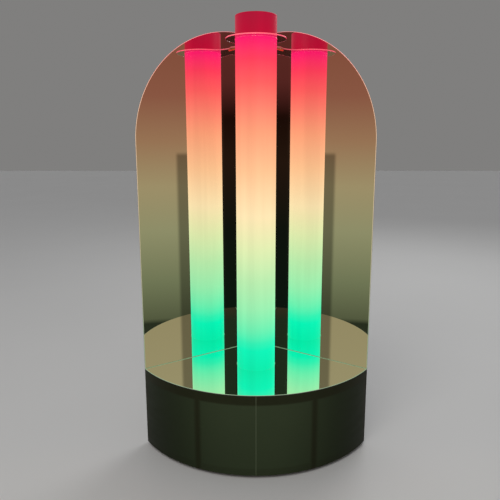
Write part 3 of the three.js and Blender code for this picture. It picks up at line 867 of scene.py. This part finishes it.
def make_corner_angle():
    """The bent aluminium angle that ties the boards together."""
    turn = Matrix.Rotation(WING_TURN, 2)
    right = [tuple(turn @ Vector((ANGLE_LEG, depth))) for depth in (ANGLE_FRONT, ANGLE_BACK)]
    inner, outer = ((0, depth / math.sin(HALF_ANGLE)) for depth in (ANGLE_FRONT, ANGLE_BACK))
    points = [(*inner, 0.0012), *((x, y, 0.0006) for x, y in right), (*outer, 0.003)]
    points += [(-x, y, 0.0006) for x, y in reversed(right)]
    low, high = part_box("corner_angle")
    mesh = plate_mesh("tie_angle", [filleted(points)], low[2], high[2], 0.0002)
    paint(mesh, [ALUMINIUM])
    add_object("tie_angle", mesh, "lamp", Matrix.Translation(CORNER), ["corner_angle"])


def make_foot(number):
    low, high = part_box(f"rubber_foot_{number}")
    r, top = (high[0] - low[0]) / 2, high[2] - low[2]
    profile = [
        (0, 0.0025, 0), (0.0055, 0.0025, 0.0008), (0.0060, 0, 0.0005), (r - 0.0022, 0, 0.0015),
        (r, 0.0030, 0.0008), (r - 0.0006, 0.0052, 0.001), (r, top, 0), (0, top, 0),
    ]
    mesh = lathe_mesh(f"foot_{number}", filleted(profile), 64)
    paint(mesh, [RUBBER])
    place = Matrix.Translation(((low[0] + high[0]) / 2, (low[1] + high[1]) / 2, low[2]))
    add_object(f"foot_{number}", mesh, "lamp", place, [f"rubber_foot_{number}"])


# ------------------------------------------------------------------ small metal parts
def make_peg(side, hand):
    """A turned peg out of the mirror's face, threaded where it passes the nut behind."""
    peg_z = COLLAR_LOW[2] - GAP - PEG_RADIUS
    shank, core, end, tip = 0.0025, 0.0021, -0.020, 0.016
    pitch, turns, groove = 0.00045, 18, PEG_RADIUS - 0.0004
    profile = [(0, end), (core, end)]
    for i in range(turns):
        profile += [(shank, end + 0.0004 + pitch * i), (core, end + 0.00062 + pitch * i)]
    profile += [(shank, end + 0.0088), (shank, GAP), (PEG_RADIUS, GAP), (PEG_RADIUS, 0.012)]
    profile += [(groove, 0.0123), (groove, 0.0127), (PEG_RADIUS, 0.013)]
    profile += rounded((PEG_RADIUS, tip), (PEG_RADIUS, 0.013), (0, tip), 0.001) + [(0, tip)]
    mesh = lathe_mesh(f"peg_{hand}", profile, 32)
    paint(mesh, [BRASS])
    place = wing_place(side) @ Matrix.Translation((side * PEG_ALONG, peg_z, 0))
    add_object(f"peg_{hand}", mesh, "lamp", place, [f"collar_peg_{hand}"])

    hexagon = circle(0, 0, 0.005, 6)
    body = plate_mesh("hexagon", [hexagon, circle(0, 0, 0.0029)], 0, 0.004, 0.0001)
    chamfer = [(0, -0.001), (0.0042, -0.001), (0.0043, 0), (0.0051, 0.0006), (0.0051, 0.0034)]
    chamfer += [(0.0043, 0.004), (0.0042, 0.005), (0, 0.005)]
    mesh = solid(body, lathe_mesh("chamfer", chamfer, 48), "INTERSECT")
    smooth(mesh, 20)
    paint(mesh, [BRASS])
    behind = Matrix.Translation((side * PEG_ALONG, peg_z, -ANGLE_FRONT)) @ flipped()
    place = wing_place(side) @ behind
    add_object(f"nut_{hand}", mesh, "lamp", place, [f"peg_nut_{hand}"])


def screw_mesh(length):
    """A pan-head screw with a cross recess, seated at height 0."""
    shank, core, pitch = 0.0016, 0.0013, 0.0008
    profile = [(0, -length), (0.0006, -length), (core, -length + 0.0015)]
    for i in range(int((length - 0.003) / pitch)):
        low = -length + pitch * i
        profile += [(core, low + 0.0019), (shank, low + 0.0023)]
    profile += [(shank, -0.0005), (shank, 0), (0.0036, 0), (0.0036, 0.0006), (0.0034, 0.0011)]
    profile += [(0.0028, 0.0015), (0.0020, 0.00175), (0.0010, 0.00187), (0, 0.0019)]
    head = lathe_mesh("screw", profile, 32)
    for half in ((0.0019, 0.00038), (0.00038, 0.0019)):
        slot = plate_mesh("slot", [box_outline(0, 0, *half, 0.0001)], 0.0009, 0.003, 0.00005)
        head = solid(head, slot)
    smooth(head, 25)
    paint(head, [STEEL])
    return head


def make_screws():
    """Every visible screw, seated on the outside of its CAD node and facing the same way."""
    screw = screw_mesh(0.008)
    angle_margin, panel_margin = 0.010, 0.007

    def put(name, side, along, up, node):
        spot = Matrix.Translation((along, up, -ANGLE_BACK - GAP))
        place = wing_place(side) @ spot @ flipped()
        add_object(name, screw.copy(), "lamp", place, [node])

    for side, hand in HANDS:
        for number, z in enumerate(ANGLE_SCREW_Z, 1):
            along = side * (ANGLE_LEG - angle_margin)
            names = f"tie_screw_{hand}_{number}", f"angle_screw_{hand}_{number}"
            put(names[0], side, along, z, names[1])
    corners = ((-1, -1), (-1, 1), (1, -1), (1, 1))
    for number, (x, y) in enumerate(corners, 1):
        along = PANEL_ALONG + x * (PANEL_WIDTH / 2 - panel_margin)
        up = PANEL_Z + y * (PANEL_HEIGHT / 2 - panel_margin)
        put(f"panel_screw_{number}", 1, along, up, f"plate_screw_{number}")


# ------------------------------------------------------------------ controls
def panel_place(x=0.0, z=0.0):
    """A spot on the control plate: +X towards the corner, +Y up, +Z out of the plate."""
    face = Matrix.Translation((PANEL_ALONG, PANEL_Z, -ANGLE_BACK)) @ flipped()
    return wing_place(1) @ face @ Matrix.Translation((x, 0, z))


def make_plate():
    half_width, half_height = PANEL_WIDTH / 2, PANEL_HEIGHT / 2
    outlines = [
        box_outline(0, 0, half_width, half_height, 0.004),
        box_outline(ROCKER_X, 0, 0.0098, 0.0073, 0.0006),
        circle(JACK_X, 0, 0.0056),
        circle(BUTTON_X, 0, 0.0040),
        circle(KNOB_X, 0, 0.0034),
    ]
    mesh = plate_mesh("control_panel", outlines, -METAL_THICK, 0, 0.0003)
    paint(mesh, [PANEL])
    add_object("control_panel", mesh, "lamp", panel_place(), ["control_plate"])


def make_housing():
    """The rocker's bezel with its deep well."""
    well, deep = box_outline(0, 0, 0.0085, 0.0057, 0.0005), -0.012
    rim = box_outline(0, 0, 0.0115, 0.009, 0.0015)
    sides = box_outline(0, 0, 0.0095, 0.007, 0.0006)
    under = box_outline(0, 0, 0.0088, 0.006, 0.0005)
    bezel = plate_mesh("bezel", [rim, well], GAP, GAP + 0.0015, 0.0004)
    walls = plate_mesh("walls", [sides, well], deep, GAP + 0.0002, 0.0001)
    floor = plate_mesh("well_floor", [under], deep, -0.0055, 0.0001)
    mesh = joined("rocker_housing", [bezel, walls, floor])
    smooth(mesh, 15)
    paint(mesh, [BLACK])
    place = panel_place(ROCKER_X)
    add_object("rocker_housing", mesh, "lamp", place, ["switch_housing"])


def make_rocker():
    """The rocker's cap, drawn from its side, with grip ridges near one end."""
    outline = [(-0.0076, 0.0034, 0.0003), (0, 0.0022, 0.005), (0.0076, 0.0034, 0.0003)]
    outline += [(0.0074, -0.0005, 0.001), (0.003, -0.0035, 0.0005)]
    outline += [(-0.003, -0.0035, 0.0005), (-0.0074, -0.0005, 0.001)]
    mesh = plate_mesh("rocker_cap", [filleted(outline)], -0.0052, 0.0052, 0.0005)
    for i in range(5):
        ridge = box_outline(-0.0066 + 0.0008 * i, 0.0030 - 0.00013 * i, 0.00016, 0.0003, 0.0001)
        mesh = joined("rocker_cap", [mesh, plate_mesh("ridge", [ridge], -0.0036, 0.0036, 0.0001)])
    smooth(mesh, 15)
    paint(mesh, [BLACK])
    tilt = flipped(-REST_TILT) @ upright()
    place = panel_place(ROCKER_X, 0.0006) @ tilt
    add_object("rocker_cap", mesh, "rocker", place, ["switch_rocker"])


def make_jack():
    """A barrel socket with a metal centre pin."""
    profile = [(0, -0.0006, 0), (0.0007, -0.0006, 0), (0.001, -0.0012, 0), (0.001, -0.009, 0)]
    profile += [(0.0028, -0.009, 0), (0.0028, 0.0018, 0.0003), (0.0034, 0.0023, 0)]
    profile += [(0.0052, 0.0023, 0.0002), (0.0055, 0.0019, 0.0001), (0.0060, 0.0019, 0.0001)]
    profile += [(0.0070, 0.0017, 0.0005), (0.0070, GAP, 0), (0.0053, GAP, 0)]
    profile += [(0.0053, -0.012, 0), (0, -0.012, 0)]
    mesh = lathe_mesh("jack", filleted(profile), 64)
    pin = 0.0011
    paint(mesh, [BLACK, STEEL], lambda normal, centre: int(math.hypot(centre.x, centre.y) < pin))
    add_object("jack", mesh, "lamp", panel_place(JACK_X), ["power_jack"])


def make_button():
    profile = [(0, -0.005, 0), (0.0036, -0.005, 0), (0.0036, 0.003, 0.0007)]
    profile += [(0.0026, 0.003, 0.0004), (0, 0.0026, 0)]
    mesh = lathe_mesh("button_cap", filleted(profile), 48)
    paint(mesh, [WHITE])
    place = panel_place(BUTTON_X)
    add_object("button_cap", mesh, "mode_push", place, ["mode_button"])


def make_knob():
    """A knob with a fluted grip, a skirt and a white pointer line."""
    profile = [(0, -0.010, 0), (0.003, -0.010, 0), (0.003, 0.0006, 0), (0.0105, 0.0006, 0.0003)]
    profile += [(0.0105, 0.0022, 0.0004), (0.0097, 0.0030, 0.0003), (0.0096, 0.0052, 0)]
    profile += [(0.0095, 0.0080, 0), (0.0094, 0.0106, 0), (0.0091, 0.0130, 0.0008)]
    profile += [(0.0070, 0.0129, 0), (0, 0.0127, 0)]
    mesh = lathe_mesh("dial_knob", filleted(profile), 240)
    flutes, flute_depth = 30, 0.055
    for vertex in mesh.vertices:
        x, y, z = vertex.co
        if math.hypot(x, y) > 0.009 and 0.0029 < z < 0.0108:
            wave = 0.5 + 0.5 * math.cos(flutes * math.atan2(y, x))
            vertex.co = (x * (1 - flute_depth * wave), y * (1 - flute_depth * wave), z)
    paint(mesh, [BLACK, WHITE])
    line = box_outline(0, 0.0062, 0.0006, 0.0036, 0.0003)
    pointer = plate_mesh("pointer", [line], 0.0124, 0.015, 0.0001)
    paint(pointer, [BLACK, WHITE], lambda normal, centre: 1)
    mesh = solid(mesh, pointer)
    smooth(mesh, 25)
    place = panel_place(KNOB_X)
    add_object("dial_knob", mesh, "dimmer", place, ["brightness_knob"])


# ------------------------------------------------------------------ carried-over CAD nodes
SLOT_LOOKS = {
    "timber": TIMBER,
    "rubber": RUBBER,
    "black_board": BOARD,
    "steel": STEEL,
    "aluminium": ALUMINIUM,
    "brass": BRASS,
    "clear_acrylic": ACRYLIC,
    "black_plastic": BLACK,
    "white_plastic": WHITE,
    "circuit_board": CIRCUIT,
    "cable_sheath": SHEATH,
    "opal_glow": OPAL,
    "opal_cap": OPAL,
    "silver_mirror": MIRROR,
    "smoked_skin": SKIN,
}


def dress_cad_nodes():
    for part in frame["record"]["subparts"]:
        node = frame["nodes"][part["node"]]
        look = SLOT_LOOKS[part["material_slot"]]
        for slot in node.material_slots:
            slot.link = "OBJECT"
            slot.material = look


# ------------------------------------------------------------------ studio
def seen(red, green, blue):
    """What the room must give for a mirror to show this screen colour."""
    colour = linear(red, green, blue)
    return (*(c / s for c, s in zip(colour[:3], SILVER)), 1.0)


BACKDROP = (0.215, 0.212, 0.208, 1.0)
SOFT_LIGHT = (0.30, 0.305, 0.32, 1.0)
# Painted reflection, behind the lamp and in reflections only, from the floor up.
DIM_GROUND = (0.16, 0.155, 0.15, 1.0)
PALE = (0.62, 0.62, 0.61, 1.0)
GROUND_THROUGH_GLASS = (0.29, 0.287, 0.28, 1.0)
# The painted reflection of a room in front of the lamp, in reflections only: (ray's height, 0 down
# to 1 up, colour).
ROOM_LOW = (0.25, seen(112, 112, 104))
WALLS = [
    ROOM_LOW,
    (0.322, seen(44, 50, 36)),
    (0.3405, seen(38, 44, 30)),
    (0.3435, seen(82, 88, 62)),
    (0.375, seen(110, 117, 84)),
    (0.42, seen(141, 141, 104)),
    (0.46, seen(156, 142, 104)),
    (0.50, seen(150, 115, 84)),
    (0.54, seen(136, 86, 66)),
    (0.575, seen(130, 79, 60)),
    (0.65, seen(148, 138, 101)),
    (0.71, seen(152, 144, 107)),
]
PAST_WALLS = [
    ROOM_LOW,
    (0.322, seen(10, 22, 14)),
    (0.42, seen(15, 19, 13)),
    (0.483, seen(34, 21, 13)),
    (0.522, seen(26, 11, 6)),
    (0.552, seen(82, 36, 32)),
    (0.60, seen(90, 42, 36)),
    (0.66, seen(30, 43, 27)),
]
AHEAD = [
    ROOM_LOW,
    (0.322, seen(19, 28, 18)),
    (0.50, seen(26, 18, 12)),
    (0.54, seen(42, 19, 14)),
    (0.57, seen(95, 42, 34)),
    (0.66, seen(33, 35, 25)),
]
# How far aside a ray points where each dark zone starts, is full, fades and ends.
AHEAD_ZONE = (0.60, 0.69, 0.745, 0.80)
PAST_ZONE = (0.885, 0.905, 0.93, 0.975)
# Painted shade of the doorway on the painted walls, from this far aside, below one height and above
# another.
DOORWAY_FROM = (0.862, 0.866)
DOORWAY_BELOW = (0.487, 0.492)
DOORWAY_ABOVE = (0.60, 0.62)
DOORWAY_SHADE = (0.46, 0.46, 0.46, 1.0)
BEHIND_FROM = (-0.25, 0.05)  # along Y
GROUND_FROM = (-0.45, -0.2)  # along Z
FLOOR_REACH = 14


def make_floor():
    g = Graph("studio_floor")
    cloud = g.noise(1.3, detail=2.0)
    material = g.shade({
        "Base Color": g.mix(cloud, (0.70, 0.69, 0.67, 1.0), (0.74, 0.73, 0.71, 1.0)),
        "Roughness": 0.6,
    })
    mesh = bpy.data.meshes.new("floor")
    corners = ((-1, -1), (1, -1), (1, 1), (-1, 1))
    verts = [(x * FLOOR_REACH, y * FLOOR_REACH, FLOOR_Z) for x, y in corners]
    mesh.from_pydata(verts, [], [(0, 1, 2, 3)])
    mesh.materials.append(material)
    floor = bpy.data.objects.new("floor", mesh)
    bpy.context.collection.objects.link(floor)
    floor.visible_glossy = False
    floor.visible_transmission = False


def make_light(name, place, aim, size, power, colour, mirrored):
    data = bpy.data.lights.new(name, "AREA")
    data.shape = "DISK"
    data.size = size
    data.energy = power
    data.color = colour
    light = bpy.data.objects.new(name, data)
    light.location = place
    light.rotation_euler = (Vector(aim) - Vector(place)).to_track_quat("-Z", "Y").to_euler()
    bpy.context.collection.objects.link(light)
    light.visible_glossy = mirrored


def make_world():
    """Soft even light. A painted reflection of a dim warm room, shown to glossy rays and to rays
    through glass: walls to the sides, dark straight ahead and past the walls, and pale behind the
    lamp."""
    world = bpy.data.worlds.new("studio")
    bpy.context.scene.world = world
    g = Graph(world, "Generated")
    x, y, z = g.axes()
    height = g.remap(z, -1.0, 1.0, shape="LINEAR")
    aside = g.math("DIVIDE", g.math("ABSOLUTE", x), g.hypotenuse(x, y))
    behind = g.remap(y, *BEHIND_FROM)

    walls = g.ramp(height, WALLS)
    below, above = g.remap(height, *DOORWAY_BELOW, 1.0, 0.0), g.remap(height, *DOORWAY_ABOVE)
    doorway = g.math("MULTIPLY", g.math("MAXIMUM", below, above), g.remap(aside, *DOORWAY_FROM))
    walls = g.mix(doorway, walls, g.mix(1.0, walls, DOORWAY_SHADE, "MULTIPLY"))
    room = g.mix(g.band(aside, *AHEAD_ZONE), walls, g.ramp(height, AHEAD))
    room = g.mix(g.band(aside, *PAST_ZONE), room, g.ramp(height, PAST_WALLS))
    through = g.mix(behind, room, BACKDROP)
    through = g.mix(g.remap(z, *GROUND_FROM), GROUND_THROUGH_GLASS, through)
    room = g.mix(behind, room, g.mix(height, DIM_GROUND, PALE))

    ray = g.add("ShaderNodeLightPath")
    light = g.mix(ray.outputs["Is Camera Ray"], SOFT_LIGHT, BACKDROP)
    colour = g.mix(ray.outputs["Is Glossy Ray"], light, room)
    colour = g.mix(ray.outputs["Is Transmission Ray"], colour, through)
    soft = g.add("ShaderNodeBackground", {"Color": colour, "Strength": 1.0})
    output = g.add("ShaderNodeOutputWorld")
    g.tree.links.new(soft.outputs[0], output.inputs["Surface"])


def make_studio():
    make_floor()
    make_world()
    make_light("soft_key", place=(-0.7, -2.1, 2.9), aim=(0, 0, 0.4), size=2.2, power=32,
               colour=(1.0, 0.98, 0.95), mirrored=False)
    make_light("soft_back", place=(1.3, 2.3, 2.6), aim=(0, 0, 0.5), size=1.8, power=22,
               colour=(0.96, 0.98, 1.0), mirrored=True)
    bpy.context.scene.view_settings.view_transform = "Standard"


dress_cad_nodes()
make_light_tube()
make_collar()
make_top_mirror()
for side, hand in HANDS:
    make_wing_mirror(side, hand)
    make_skin(side, hand)
    make_rear_board(side, hand)
    make_peg(side, hand)
make_corner_angle()
for number in range(1, 5):
    make_foot(number)
make_screws()
make_plate()
make_housing()
make_rocker()
make_jack()
make_button()
make_knob()
make_studio()
